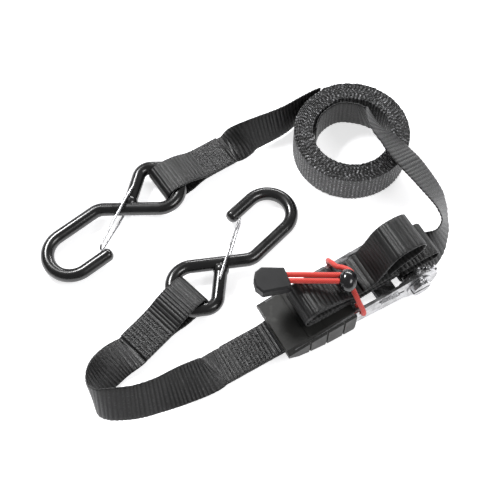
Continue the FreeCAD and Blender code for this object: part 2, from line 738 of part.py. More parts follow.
def make_handle():
    """Two arms outside the wheels, joined by a web under the grip."""
    body = new_body("handle_frame", RATCHET)
    outer = "2 * (Dims.arm_inner + Dims.plate)"
    side = new_sketch(body, "arm_side", "XZ_Plane")
    draw_polygon(side, [(-97, 17.6), (-50, 9.6), (-10, 7), (0, 3), (0, 31), (-10, 29.5), (-52, 25.6), (-97, 20)])
    pad(body, side, outer, both_ways=True, name="arm_block")
    eye = new_sketch(body, "arm_eye", "XZ_Plane")
    draw_circle(eye, 0, "Dims.spindle_z", 14.5)
    pad(body, eye, outer, both_ways=True, name="arm_eyes")
    inside = new_sketch(body, "arm_inside", "XZ_Plane")
    draw_polygon(inside, [(-99, 0), (-99, 17.9), (-58, 21.6), (-58, 34), (20, 34), (20, 0)])
    pocket(body, inside, "2 * Dims.arm_inner", "arm_channel")
    bores = new_sketch(body, "arm_bores", "XZ_Plane")
    draw_circle(bores, 0, "Dims.spindle_z", "Dims.bore_radius")
    draw_circle(bores, ARM_HOLE_X, ARM_HOLE_Z, 2.2)
    pocket(body, bores, 90, "arm_holes")
    slot = new_sketch(body, "arm_pawl_slot", "XZ_Plane")
    draw_pawl_slot(slot, 170, dim("pawl_reach") - 1.4, dim("pawl_reach") + dim("pawl_length") + 4.2)
    pocket(body, slot, 90, "arm_pawl_slots")
    return body


def make_grip():
    """Moulded grip: wedge-shaped cover over the arms, with transverse grooves."""
    body = new_body("handle_grip", RATCHET)
    side = new_sketch(body, "grip_side", "XZ_Plane")
    outline = [(-102.5, 14.6), (-95, 9), (-86, 6.2), (-72, 3.6), (-51.5, 3.2), (-50.6, 6.5), (-50.6, 26.5)]
    outline += [(-72, 24.6), (-88, 23), (-102.5, 20.6)]
    draw_polygon(side, outline)
    pad(body, side, "2 * Dims.grip_half", both_ways=True, name="grip_block")
    block = body.Tip
    long_edges = []
    for index, edge in enumerate(block.Shape.Edges, start=1):
        box = edge.BoundBox
        on_side = box.YLength < 1e-3
        if on_side and box.ZMin > 20 and box.XLength > 5:
            long_edges.append(f"Edge{index}")
    facets = body.newObject("PartDesign::Chamfer", "grip_facets")
    facets.Base = (block, long_edges)
    facets.Size = 3.2
    doc.recompute()
    under = new_sketch(body, "grip_underside", "XZ_Plane")
    draw_polygon(under, [(-98.5, 0), (-98.5, 16.4), (-96, 17.2), (-49, 17.2), (-49, 0)])
    pocket(body, under, "2 * (Dims.base_inner + Dims.plate + 0.9)", "grip_cavity")
    socket = new_sketch(body, "grip_socket", "XZ_Plane")
    draw_polygon(socket, [(-97.3, 17.3), (-97.3, 20.3), (-52, 25.9), (-49, 26.1), (-49, 9.2), (-50, 9.2)])
    pocket(body, socket, "2 * (Dims.arm_inner + Dims.plate + 0.1)", "grip_arm_socket")
    for index, x in enumerate((-86, -73, -60)):
        groove = new_sketch(body, f"grip_groove_{index}", "XZ_Plane")
        top = 22.6 + (x + 88) * 0.11
        draw_polygon(groove, [(x - 0.5, top), (x + 0.5, top), (x + 0.5, top + 6), (x - 0.5, top + 6)])
        pocket(body, groove, "4 * Dims.grip_half", f"grip_groove_cut_{index}")
        notch = new_sketch(body, f"grip_notch_{index}", "XY_Plane")
        for side in (-1, 1):
            face = side * dim("grip_half")
            deep = face - side * 0.8
            draw_polygon(notch, [(x - 0.6, deep), (x + 0.6, deep), (x + 0.6, 2 * face), (x - 0.6, 2 * face)])
        pocket(body, notch, 80, f"grip_notch_cut_{index}", both_ways=True)
    return body


def make_pawl(label, degrees, half_width, lift):
    """Sliding plate with a bevelled edge that drops into a tooth gap."""
    body = new_body(label, RATCHET)
    start = dim("pawl_reach") + lift
    end = start + dim("pawl_length")
    side = new_sketch(body, label + "_plate", "XZ_Plane")
    draw_polygon(side, radial_box(degrees, start, end, dim("pawl_thick") / 2))
    pad(body, side, 2 * half_width, both_ways=True, name=label + "_width")
    return body


def make_pull(degrees):
    """Finger pull that is folded up from the drive pawl."""
    body = new_body("drive_pawl_pull", RATCHET)
    start = dim("pawl_reach") + dim("pawl_lift") + dim("pawl_length") - 3.4
    low = dim("pawl_thick") / 2 + 0.02
    side = new_sketch(body, "pull_side", "XZ_Plane")
    hub = Vector(0, dim("spindle_z"), 0)
    along = polar(1, degrees)
    cross = Vector(along.y, -along.x, 0)
    corners = []
    for reach, rise in ((start, low), (start + 2, low), (start + 3.4, low + 4.0), (start + 1.4, low + 4.0)):
        point = hub + along * reach + cross * rise
        corners.append((point.x, point.y))
    draw_polygon(side, corners)
    pad(body, side, 16, both_ways=True, name="pull_width")


def make_spring(label, degrees, start, length, radius, wire, offset):
    """Compression spring behind a pawl, drawn as a stack of rings joined by their own wire."""
    coils = 5
    pitch = length / coils
    helix = Part.makeHelix(pitch, length, radius)
    section = Part.Wire(Part.makeCircle(wire, Vector(radius, 0, 0), Vector(0, 1, 0)).Edges)
    coil = Part.Wire(helix.Edges).makePipeShell([section], True, True)
    along = polar(1, degrees)
    direction = Vector(along.x, 0, along.y)
    base = Vector(0, offset, dim("spindle_z")) + direction * start
    frame = Placement(base, Rotation(Vector(0, 0, 1), direction))
    feature_from(label, coil, RATCHET.multiply(frame))


# ---------------------------------------------------------------- tail
def make_tail():
    """Tail: through the slot, over the spindle, folded on the handle, with a standing crest."""
    hub = dim("spindle_z")
    make_flat_ribbon("webbing_in_spindle", RATCHET, [(-6.8, hub), (6.8, hub)], [])
    loop = [(-7.7, hub), (-10.6, hub), (-10.6, 26.2), (18.9, 27.0), (18.9, 36.4), (-11.9, 34.9)]
    make_flat_ribbon("webbing_tail_loop", RATCHET, loop, [1.6, 3.0, 4.4, 4.4])
    folds = new_body("webbing_tail_folds", RATCHET)
    side = new_sketch(folds, "folds_side", "XZ_Plane")
    draw_polygon(side, [
        (-84, 25.2), (-86.5, 33), (-84, 41), (-76, 45), (-60, 42), (-48, 35.8), (-38, 35), (-12.6, 36),
        (-12.6, 31), (-20, 29), (-34, 28.4), (-38, 25.4), (-50, 25.3), (-50.3, 27.4),
    ])
    pad(folds, side, "Dims.web_width", both_ways=True, name="folds_width")
    crest = [(-39, 36.5), (-31, 39), (-17.6, 63.4), (3.4, 63.4), (3.4, 52), (-14, 46), (-22, 41.5)]
    make_flat_ribbon("webbing_tail_crest", RATCHET, crest, [14.0, 11.0, 5.6, 5.6, 12.0])


# ---------------------------------------------------------------- elastic
TOGGLE = Vector(62.6, -46.6, 47.7)
STRAND_AT_TOGGLE = Vector(62.6, -45.3, 48.6)
CAP_FACE = Vector(25.7, -45.5, 49.6)
STRAND_HALF = 2.15
ARM_HOLE_X = -46.0
ARM_HOLE_Z = 22.3


def ratchet_point(x, y, z):
    """Ratchet coordinates to layout coordinates."""
    point = Vector(103.6, -17.5, 0) + polar(x, RATCHET_YAW) + polar(y, RATCHET_YAW + 90)
    return Vector(point.x, point.y, z)


def elastic_route(side):
    """Points of one strand: out of the end cap, through the toggle, down to a hole in the arm."""
    line = STRAND_AT_TOGGLE - CAP_FACE
    offset = Vector(0, side * STRAND_HALF, 0)
    sway = Vector(0, 0, 0.12)
    points = [CAP_FACE - line * 0.12 + offset, CAP_FACE + line * 0.22 + offset + sway]
    points += [CAP_FACE + line * 0.55 + offset - sway, CAP_FACE + line * 0.82 + offset + sway]
    if side < 0:
        points.append(STRAND_AT_TOGGLE + offset + Vector(0.4, 0, 0))
        beyond = [(-49.0, -10.1, 43.2), (-49.0, -14.7, 40.2), (-48.1, -18.4, 34.8), (-46.8, -21.5, 29.2)]
    else:
        points.append(STRAND_AT_TOGGLE + offset + Vector(1.2, 0, 0))
        points.append(Vector(66.0, -40.0, 46.6))
        beyond = [(-45.5, 6.0, 43.2), (-49.3, 9.5, 41.9), (-49.6, 14.9, 39.6), (-48.8, 18.4, 34.6)]
        beyond.append((-47.2, 21.6, 29.0))
    points += [ratchet_point(*item) for item in beyond]
    points.append(ratchet_point(ARM_HOLE_X, side * 22.3, ARM_HOLE_Z + 0.1))
    points.append(ratchet_point(ARM_HOLE_X, side * 16.6, ARM_HOLE_Z))
    return [point + SHIFT for point in points]


def make_elastic(label, side):
    points = elastic_route(side)
    radii = []
    for before, corner, after in zip(points, points[1:], points[2:]):
        back = before - corner
        ahead = after - corner
        turn = math.pi - back.getAngle(ahead)
        shorter = min(back.Length, ahead.Length)
        radii.append(0.45 * shorter / math.tan(turn / 2))
    edges = [edge.toShape() for edge in rounded_path(points, radii)]
    route = Part.Wire(edges)
    heading = points[1] - points[0]
    section = Part.Wire(Part.makeCircle(dim("elastic_dia") / 2, points[0], heading).Edges)
    tube = route.makePipeShell([section], True, False)
    expected = math.pi * (dim("elastic_dia") / 2) ** 2 * route.Length
    check_made(tube, label, expected)
    print(label, "length", round(route.Length, 1), "radii", [round(value, 1) for value in radii])
    print(label, "route", [[round(value, 1) for value in point] for point in points])
    feature_from(label, tube)


def cord_frame(point):
    """Frame with +X along the two strands, from the toggle to the end cap."""
    along = CAP_FACE - STRAND_AT_TOGGLE
    yaw = math.degrees(math.atan2(along.y, along.x))
    rise = math.degrees(math.atan2(along.z, math.hypot(along.x, along.y)))
    turn = Rotation(Vector(0, 0, 1), yaw).multiply(Rotation(Vector(0, 1, 0), -rise))
    return Placement(point + SHIFT, turn)


def strand_holes(body, name, depth, radius, both_ways=True):
    sketch = new_sketch(body, name, "YZ_Plane")
    for side in (-1, 1):
        draw_circle(sketch, side * STRAND_HALF, 0, radius)
    pocket(body, sketch, depth, name + "_cut", both_ways=both_ways, backwards=not both_ways)


def make_toggle():
    """Cord stop's shell above the strands that run through it."""
    body = new_body("cord_toggle", cord_frame(STRAND_AT_TOGGLE))
    centre_x = TOGGLE.x - STRAND_AT_TOGGLE.x
    centre_y = STRAND_AT_TOGGLE.y - TOGGLE.y
    outline = new_sketch(body, "toggle_outline", "XY_Plane", "Dims.elastic_dia / 2 + Dims.gap + 0.05")
    sides = 12
    corners = []
    for i in range(sides):
        angle = 2 * math.pi * (i + 0.5) / sides
        corners.append((centre_x + 6.3 * math.cos(angle), centre_y + 7.6 * math.sin(angle)))
    draw_polygon(outline, corners)
    pad(body, outline, 3.4, name="toggle_shell")


def make_end_cap():
    """Flat tapered pull that holds both ends of the elastic."""
    body = new_body("cord_end_cap", cord_frame(CAP_FACE))
    outline = new_sketch(body, "cap_outline", "XY_Plane", "-4.6")
    draw_polygon(outline, [(-0.6, 7.4), (1.2, 9.0), (17.6, 12.6), (22.2, 8.6), (23.6, 2.8), (22.6, -2.2),
                           (18.6, -5.6), (4.0, -5.6)])
    pad(body, outline, 9.2, name="cap_block")
    edges = []
    block = body.Tip
    for index, edge in enumerate(block.Shape.Edges, start=1):
        box = edge.BoundBox
        if box.ZLength < 1e-3:
            edges.append(f"Edge{index}")
    soft = body.newObject("PartDesign::Chamfer", "cap_edges")
    soft.Base = (block, edges)
    soft.Size = 1.2
    doc.recompute()
    strand_holes(body, "cap_holes", 20.0, "Dims.elastic_dia / 2 + 0.05")


def make_knots():
    """Knot on each strand inside its handle arm."""
    knots = []
    for side in (-1, 1):
        knots.append(Part.makeSphere(2.7, ratchet_point(ARM_HOLE_X, side * 13.8, ARM_HOLE_Z) + SHIFT))
    feature_from("elastic_knots", Part.makeCompound(knots))


# ---------------------------------------------------------------- build
LONG_HOOK = hook_frame(LONG_EYE, LONG_YAW, HOOK_YAW_LONG)
SHORT_HOOK = hook_frame(SHORT_EYE, SHORT_YAW, HOOK_YAW_SHORT)
make_hook("hook_long", LONG_HOOK)
make_gate("hook_long_gate", gate_frame(LONG_HOOK))
make_hook("hook_short", SHORT_HOOK)
make_gate("hook_short_gate", gate_frame(SHORT_HOOK))

make_hook_loop("webbing_long_hook_loop", LONG_EYE, LONG_YAW, LONG_SLOPE, -15.0)
make_long_run()
make_roll()
make_lead()
make_hook_loop("webbing_short_hook_loop", SHORT_EYE, SHORT_YAW, SHORT_SLOPE, -15.0)
make_short_run()
make_anchor_loop()
PATCHES = (
    ("stitching_long_hook", loop_frame(LONG_EYE, LONG_YAW), 31.0, LONG_SLOPE),
    ("stitching_short_hook", loop_frame(SHORT_EYE, SHORT_YAW), 31.0, SHORT_SLOPE),
    ("stitching_short_anchor", RATCHET, -116.0, ANCHOR_SLOPE),
)
for name, frame, along, slope in PATCHES:
    height = anchor_layer_z(along) if frame is RATCHET else lower_layer_z(slope, along)
    on_top = height + LAYER + THICK / 2 + 0.02
    make_stitching(name, patch_frame(frame, along, on_top, slope), 22)

make_base()
make_anchor()
make_wheel("ratchet_wheel_near", -1)
make_wheel("ratchet_wheel_far", 1)
make_spindle()
make_spindle_keepers()
make_handle()
make_grip()
make_pawl("base_pawl", 200, 17.6, 0)
make_pawl("drive_pawl", 170, 21.6, dim("pawl_lift"))
make_pull(170)
SPRING_START = dim("pawl_reach") + dim("pawl_length") + 0.1
make_spring("base_pawl_spring", 200, SPRING_START, 8.0, 1.7, 0.3, 0)
LIFTED = dim("pawl_lift")
make_spring("drive_pawl_spring", 170, SPRING_START + LIFTED + 0.1, 7.8 - LIFTED, 1.7, 0.3, 0)
make_tail()
make_elastic("elastic_near", -1)
make_elastic("elastic_far", 1)
make_toggle()
make_end_cap()
make_knots()
doc.recompute()

# ---------------------------------------------------------------- check and write
for item in doc.Objects:
    if "Invalid" in item.State or "Error" in item.State:
        raise RuntimeError(f"{item.Label}: {item.State}")
os.makedirs("parts", exist_ok=True)
whole = FreeCAD.BoundBox()
for item in PARTS:
    check_made(item.Shape, item.Label)
    item.Shape.exportStep(f"parts/{item.Label}.step")
    whole.add(item.Shape.BoundBox)
print("box", [round(value, 1) for value in (whole.XMin, whole.XMax, whole.YMin, whole.YMax, whole.ZMin, whole.ZMax)])


def show_axis(name, placement, direction):
    point = placement.Base
    axis = placement.Rotation.multVec(direction)
    print(name, [round(value, 3) for value in point], [round(value, 5) for value in axis])


for name, eye, yaw, hook in (("long", LONG_EYE, LONG_YAW, LONG_HOOK), ("short", SHORT_EYE, SHORT_YAW, SHORT_HOOK)):
    lift = Placement(Vector(0, 0, dim("hook_axis_z")), Rotation())
    show_axis(name + " hook swing", loop_frame(eye, yaw).multiply(lift), Vector(0, 1, 0))
    show_axis(name + " gate", gate_frame(hook), Vector(0, 0, 1))
show_axis("spindle", RATCHET.multiply(Placement(Vector(0, 0, dim("spindle_z")), Rotation())), Vector(0, 1, 0))
for name, hook in (("long", LONG_HOOK), ("short", SHORT_HOOK)):
    mouth = Placement(Vector(dim("tip_leg"), -dim("hook_bend"), 0), Rotation())
    show_axis(name + " mouth", hook.multiply(mouth), Vector(1, 0, 0))
show_axis("toggle", cord_frame(STRAND_AT_TOGGLE), Vector(1, 0, 0))
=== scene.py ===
import json
import math

import bmesh
import bpy
import numpy as np
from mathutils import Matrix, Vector

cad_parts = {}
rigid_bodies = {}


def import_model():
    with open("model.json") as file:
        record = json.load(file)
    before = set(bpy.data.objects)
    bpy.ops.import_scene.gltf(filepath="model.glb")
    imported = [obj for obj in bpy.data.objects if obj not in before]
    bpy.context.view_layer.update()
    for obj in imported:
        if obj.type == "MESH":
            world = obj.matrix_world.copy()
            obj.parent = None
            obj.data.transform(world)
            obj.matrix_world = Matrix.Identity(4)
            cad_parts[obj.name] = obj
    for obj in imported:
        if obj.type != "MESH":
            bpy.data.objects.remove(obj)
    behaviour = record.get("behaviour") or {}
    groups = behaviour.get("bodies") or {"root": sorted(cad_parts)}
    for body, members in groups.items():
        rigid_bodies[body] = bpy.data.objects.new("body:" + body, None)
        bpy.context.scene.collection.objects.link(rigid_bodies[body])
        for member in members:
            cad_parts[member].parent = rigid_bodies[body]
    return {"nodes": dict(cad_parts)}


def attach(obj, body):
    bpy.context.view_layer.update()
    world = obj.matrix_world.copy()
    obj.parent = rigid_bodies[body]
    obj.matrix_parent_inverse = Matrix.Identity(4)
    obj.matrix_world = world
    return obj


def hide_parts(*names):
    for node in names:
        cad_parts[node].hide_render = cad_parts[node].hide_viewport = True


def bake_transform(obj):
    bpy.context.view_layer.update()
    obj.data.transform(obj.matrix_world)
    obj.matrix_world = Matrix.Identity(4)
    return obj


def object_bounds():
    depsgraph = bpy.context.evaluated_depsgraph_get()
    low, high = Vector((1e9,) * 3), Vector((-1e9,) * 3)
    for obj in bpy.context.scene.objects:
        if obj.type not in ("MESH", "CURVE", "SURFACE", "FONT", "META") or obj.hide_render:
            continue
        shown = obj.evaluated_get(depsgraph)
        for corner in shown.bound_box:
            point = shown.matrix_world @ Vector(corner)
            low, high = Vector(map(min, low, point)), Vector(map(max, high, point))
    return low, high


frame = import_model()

cad_low, cad_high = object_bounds()

# ---------------------------------------------------------------- sizes, in millimetres and degrees
MM = 0.001
WEB, THICK = 25.4, 1.4  # the webbing's width and thickness
SHIFT = np.array([3.7, 0.6, 0.0])  # moves the layout so that the origin lies near its middle
RATCHET_AT = np.array([103.6, -17.5, 0.0])
RATCHET_YAW = 30.0
LONG_EYE, LONG_YAW = np.array([-66.45, 46.06, 0.0]), 34.4
SHORT_EYE, SHORT_YAW = np.array([-36.63, -33.86, 0.0]), 226.0
EYE_REACH = 15.5
ROLL_CENTRE = np.array([73.0, 83.2, 0.0])
ROLL_OUTER, ROLL_INNER = 42.5, 27.4
ROLL_GAP = 0.25  # between the roll and the strap that joins it
JOIN_ANGLE, INNER_ANGLE = 119, 175  # where the strap joins the roll outside and leaves it inside
HUB_Z = 17.0
HOOK_AXIS_Z, HOOK_WIRE_R = 9.25, 4.75
LOOP_GAP = 0.3  # between a sewn loop and what it goes round
RIB, TAIL_RIB = 2.75, 2.9  # length of one rib
rng = np.random.default_rng(7)


def polar(length, degrees):
    a = math.radians(degrees)
    return np.array([math.cos(a), math.sin(a), 0.0]) * length


def in_frame(origin, yaw, points):
    """Points (x, y, z) of a frame on the floor, in the shifted layout, in millimetres."""
    x_dir, y_dir = polar(1, yaw), polar(1, yaw + 90)
    up = np.array([0, 0, 1.0])
    return np.array([origin + SHIFT + x_dir * p[0] + y_dir * p[1] + up * p[2] for p in points])


# ---------------------------------------------------------------- curves
def catmull(rows, pieces):
    """Smooth curve through the rows (Catmull-Rom)."""
    rows = [np.array(r, float) for r in rows]
    out = []
    for i in range(len(rows) - 1):
        p0, p1, p2 = rows[max(i - 1, 0)], rows[i], rows[i + 1]
        p3 = rows[min(i + 2, len(rows) - 1)]
        for k in range(pieces):
            t = k / pieces
            out.append((2 * p1 + (p2 - p0) * t + (2 * p0 - 5 * p1 + 4 * p2 - p3) * t**2
                        + (3 * p1 - p0 - 3 * p2 + p3) * t**3) / 2)
    out.append(rows[-1])
    return np.array(out)


def soft_path(points, pieces=24):
    """Smooth path that is tangent to the middle of each leg between the points."""
    p = [np.array(q, float) for q in points]
    middles = [p[0]] + [(p[i] + p[i + 1]) / 2 for i in range(1, len(p) - 2)] + [p[-1]]
    out = []
    for i in range(len(middles) - 1):
        a, b, c = middles[i], p[i + 1], middles[i + 1]
        for k in range(pieces):
            t = k / pieces
            out.append(a * (1 - t)**2 + b * 2 * t * (1 - t) + c * t**2)
    out.append(middles[-1])
    return np.array(out)


def resample(rows, step):
    """Rows (x, y, z, ...) at even steps of length."""
    rows = np.array(rows, float)
    gaps = np.linalg.norm(np.diff(rows[:, :3], axis=0), axis=1)
    along = np.concatenate([[0], np.cumsum(gaps)])
    count = max(int(round(along[-1] / step)), 4)
    at = np.linspace(0, along[-1], count + 1)
    return at, np.stack([np.interp(at, along, rows[:, k]) for k in range(rows.shape[1])], axis=1)


def unit(v):
    return v / np.maximum(np.linalg.norm(v, axis=-1, keepdims=True), 1e-12)


# ---------------------------------------------------------------- materials
def new_material(name):
    material = bpy.data.materials.new(name)
    material.use_nodes = True
    nodes, links = material.node_tree.nodes, material.node_tree.links
    shader = nodes["Principled BSDF"]
    return material, nodes, links, shader


def add(nodes, kind, **values):
    node = nodes.new(kind)
    for key, value in values.items():
        if key in node.inputs:
            node.inputs[key].default_value = value
        else:
            setattr(node, key, value)
    return node


def ramp(nodes, links, source, stops):
    node = nodes.new("ShaderNodeValToRGB")
    elements = node.color_ramp.elements
    while len(elements) > 1:
        elements.remove(elements[-1])
    elements[0].position, elements[0].color = stops[0][0], (*stops[0][1], 1)
    for position, colour in stops[1:]:
        elements.new(position).color = (*colour, 1)
    links.new(source, node.inputs[0])
    return node.outputs[0]


def grey(v):
    return (v, v, v * 1.02)


def blend_colour(nodes, links, factor, a, b, mode="MIX"):
    node = nodes.new("ShaderNodeMix")
    node.data_type = "RGBA"
    node.blend_type = mode
    for socket, value in ((node.inputs[0], factor), (node.inputs[6], a), (node.inputs[7], b)):
        if isinstance(value, (int, float)):
            socket.default_value = value
        elif isinstance(value, tuple):
            socket.default_value = (*value, 1)
        else:
            links.new(value, socket)
    return node.outputs[2]


def bump(nodes, links, shader, sources):
    """Chain of bumps: (height socket, distance in metres, strength)."""
    last = None
    for height, distance, strength in sources:
        node = add(nodes, "ShaderNodeBump", Strength=strength, Distance=distance)
        links.new(height, node.inputs["Height"])
        if last is not None:
            links.new(last, node.inputs["Normal"])
        last = node.outputs["Normal"]
    links.new(last, shader.inputs["Normal"])


def math_node(nodes, links, operation, a, b=None):
    node = nodes.new("ShaderNodeMath")
    node.operation = operation
    for socket, value in ((node.inputs[0], a), (node.inputs[1], b)):
        if isinstance(value, (int, float)):
            socket.default_value = value
        elif value is not None:
            links.new(value, socket)
    return node.outputs[0]


def webbing_material(name, base, light, rough, speck, groove=0.25):
    """Woven polyester: crosswise ribs with painted shade in their grooves and a painted highlight on their
    crests, yarns along the strap and a speckle of bright yarn.

    The map counts ribs along the strap and millimetres across it.
    """
    material, nodes, links, shader = new_material(name)
    uv = add(nodes, "ShaderNodeUVMap", uv_map="cloth")
    ribs = nodes.new("ShaderNodeSeparateXYZ")
    links.new(uv.outputs[0], ribs.inputs[0])
    turn = math_node(nodes, links, "MULTIPLY", ribs.outputs[0], math.pi)
    crown = math_node(nodes, links, "ABSOLUTE", math_node(nodes, links, "SINE", turn))
    spread = add(nodes, "ShaderNodeMapping")
    spread.inputs["Scale"].default_value = (RIB, 1.0, 1.0)
    links.new(uv.outputs[0], spread.inputs[0])
    yarn = add(nodes, "ShaderNodeTexWave", Scale=0.42, Distortion=0.6)
    yarn.bands_direction = "Y"
    yarn.inputs["Detail"].default_value = 1.0
    links.new(spread.outputs[0], yarn.inputs[0])
    stretch = add(nodes, "ShaderNodeMapping")
    stretch.inputs["Scale"].default_value = (0.55, 1.5, 1.0)
    links.new(spread.outputs[0], stretch.inputs[0])
    fleck = add(nodes, "ShaderNodeTexNoise", Scale=1.1, Detail=3.0, Roughness=0.7)
    links.new(stretch.outputs[0], fleck.inputs[0])
    broad = add(nodes, "ShaderNodeTexNoise", Scale=0.05, Detail=2.0)
    links.new(spread.outputs[0], broad.inputs[0])
    tone = ramp(nodes, links, fleck.outputs[0],
                [(0.35, grey(base * 0.6)), (0.52, grey(base)), (0.72, grey(light))])
    tone2 = ramp(nodes, links, broad.outputs[0], [(0.3, grey(base * 0.7)), (0.7, grey(base * 1.5))])
    colour = blend_colour(nodes, links, speck, tone2, tone)
    # Painted light: the rib grooves are darkened to the groove value as painted shade and the crests brightened
    # up to 2.6 times as a painted highlight.
    shade = ramp(nodes, links, crown,
                 [(0.0, grey(groove)), (0.45, grey(0.45)), (0.8, grey(1.1)), (1.0, grey(2.6))])
    colour = blend_colour(nodes, links, 1.0, colour, shade, "MULTIPLY")
    links.new(colour, shader.inputs["Base Color"])
    roughness = ramp(nodes, links, fleck.outputs[0], [(0.3, grey(rough + 0.15)), (0.7, grey(rough - 0.05))])
    links.new(roughness, shader.inputs["Roughness"])
    shader.inputs["Sheen Weight"].default_value = 0.02
    shader.inputs["Specular IOR Level"].default_value = 0.5
    bump(nodes, links, shader, [(yarn.outputs[1], 0.00012, 0.5), (fleck.outputs[0], 0.00015, 0.45)])
    return material


def speckled(name, base, light, scale, rough):
    """Cut or sewn cloth seen end-on: coarse salt-and-pepper yarn ends."""
    material, nodes, links, shader = new_material(name)
    where = nodes.new("ShaderNodeTexCoord")
    cells = add(nodes, "ShaderNodeTexVoronoi", Scale=scale, Randomness=1.0)
    links.new(where.outputs["Object"], cells.inputs["Vector"])
    noise = add(nodes, "ShaderNodeTexNoise", Scale=scale * 1.4, Detail=3.0)
    links.new(where.outputs["Object"], noise.inputs["Vector"])
    tone = ramp(nodes, links, cells.outputs["Color"],
                [(0.2, grey(base)), (0.62, grey(base * 1.4)), (0.85, grey(light))])
    tone2 = ramp(nodes, links, noise.outputs[0], [(0.4, grey(base * 0.8)), (0.65, grey(light * 0.8))])
    links.new(blend_colour(nodes, links, 0.5, tone, tone2), shader.inputs["Base Color"])
    rough_map = ramp(nodes, links, noise.outputs[0], [(0.3, grey(rough + 0.1)), (0.7, grey(rough - 0.1))])
    links.new(rough_map, shader.inputs["Roughness"])
    shader.inputs["Sheen Weight"].default_value = 0.15
    bump(nodes, links, shader, [(cells.outputs["Distance"], 0.0005, 0.8), (noise.outputs[0], 0.0003, 0.5)])
    return material


def coated(name, base, worn, rough, fine, bump_size, coat=0.0):
    """Dipped or moulded surface: uneven skin, dull patches and pale scuffs."""
    material, nodes, links, shader = new_material(name)
    where = nodes.new("ShaderNodeTexCoord")
    skin = add(nodes, "ShaderNodeTexNoise", Scale=fine, Detail=4.0, Roughness=0.6)
    links.new(where.outputs["Object"], skin.inputs["Vector"])
    patch = add(nodes, "ShaderNodeTexNoise", Scale=90.0, Detail=3.0)
    links.new(where.outputs["Object"], patch.inputs["Vector"])
    colour = ramp(nodes, links, patch.outputs[0], [(0.35, base), (0.62, base), (0.8, worn)])
    links.new(colour, shader.inputs["Base Color"])
    rough_map = ramp(nodes, links, patch.outputs[0],
                     [(0.3, grey(rough)), (0.75, grey(min(rough + 0.18, 1)))])
    links.new(rough_map, shader.inputs["Roughness"])
    shader.inputs["Coat Weight"].default_value = coat
    shader.inputs["Coat Roughness"].default_value = 0.12
    bump(nodes, links, shader, [(skin.outputs[0], bump_size, 0.5), (patch.outputs[0], bump_size * 2, 0.25)])
    return material


def metal(name, low, high, rough, streak):
    """Plated steel: rolled streaks, cloudy plating and darker tarnish."""
    material, nodes, links, shader = new_material(name)
    where = nodes.new("ShaderNodeTexCoord")
    drawn = add(nodes, "ShaderNodeMapping")
    drawn.inputs["Scale"].default_value = streak
    drawn.inputs["Rotation"].default_value = (0, 0, math.radians(-RATCHET_YAW))
    links.new(where.outputs["Object"], drawn.inputs[0])
    lines = add(nodes, "ShaderNodeTexNoise", Scale=220.0, Detail=4.0, Roughness=0.65)
    links.new(drawn.outputs[0], lines.inputs["Vector"])
    cloud = add(nodes, "ShaderNodeTexNoise", Scale=160.0, Detail=3.0)
    links.new(where.outputs["Object"], cloud.inputs["Vector"])
    tone = ramp(nodes, links, cloud.outputs[0], [(0.3, grey(low)), (0.6, grey(high))])
    links.new(tone, shader.inputs["Base Color"])
    shader.inputs["Metallic"].default_value = 1.0
    rough_map = ramp(nodes, links, lines.outputs[0], [(0.3, grey(rough)), (0.75, grey(rough + 0.2))])
    links.new(rough_map, shader.inputs["Roughness"])
    bump(nodes, links, shader, [(lines.outputs[0], 0.00003, 0.3), (cloud.outputs[0], 0.00008, 0.15)])
    return material


def cord_material(name, base, dark):
    """Braided elastic cover: slanting yarns on a soft rubber core, with painted shade in the grooves between
    the yarns.
    """
    material, nodes, links, shader = new_material(name)
    where = nodes.new("ShaderNodeTexCoord")
    braid = add(nodes, "ShaderNodeTexWave", Scale=420.0, Distortion=1.2)
    braid.bands_direction = "DIAGONAL"
    links.new(where.outputs["Object"], braid.inputs[0])
    noise = add(nodes, "ShaderNodeTexNoise", Scale=900.0, Detail=2.0)
    links.new(where.outputs["Object"], noise.inputs["Vector"])
    # Painted shade: the colour darkens towards dark where the bump puts the grooves between the yarns.
    tone = ramp(nodes, links, braid.outputs[1], [(0.1, dark), (0.6, base)])
    links.new(tone, shader.inputs["Base Color"])
    rough_map = ramp(nodes, links, noise.outputs[0], [(0.3, grey(0.5)), (0.7, grey(0.68))])
    links.new(rough_map, shader.inputs["Roughness"])
    shader.inputs["Sheen Weight"].default_value = 0.25
    bump(nodes, links, shader, [(braid.outputs[1], 0.0002, 0.5), (noise.outputs[0], 0.0001, 0.4)])
    return material


# The last number of each webbing material is the painted shade in its rib grooves; each also gets a painted
# highlight on its rib crests.
CLOTH = webbing_material("cloth_webbing", 0.0045, 0.05, 0.33, 0.5, 0.05)
TAIL_CLOTH = webbing_material("cloth_tail", 0.0035, 0.012, 0.34, 0.4, 0.3)
ROLL_CLOTH = webbing_material("cloth_roll", 0.007, 0.5, 0.45, 0.7, 0.12)
THREAD = speckled("sewing_thread", 0.012, 0.34, 1500.0, 0.4)
BLACK_DIP = coated("hook_dip", (0.003, 0.003, 0.0032), (0.008, 0.008, 0.0085), 0.2, 600.0, 0.00003, 0.5)
GRIP = coated("grip_rubber", (0.014, 0.014, 0.0125), (0.07, 0.07, 0.065), 0.4, 2400.0, 0.00012)
CAP = coated("cap_plastic", (0.012, 0.012, 0.013), (0.03, 0.03, 0.032), 0.42, 1500.0, 0.00008)
BALL = coated("ball_plastic", (0.006, 0.006, 0.007), (0.014, 0.014, 0.015), 0.16, 900.0, 0.00006, 0.6)
ZINC = metal("zinc_plate", 0.30, 0.62, 0.16, (0.25, 2.2, 2.2))
BRIGHT = metal("bright_wire", 0.45, 0.62, 0.2, (1.0, 1.0, 1.0))
DARK_STEEL = metal("dark_plate", 0.10, 0.2, 0.35, (0.4, 2.0, 2.0))
# The second colour is the painted shade in the braid's grooves.
RED = cord_material("elastic_red", (0.78, 0.055, 0.035), (0.42, 0.02, 0.015))


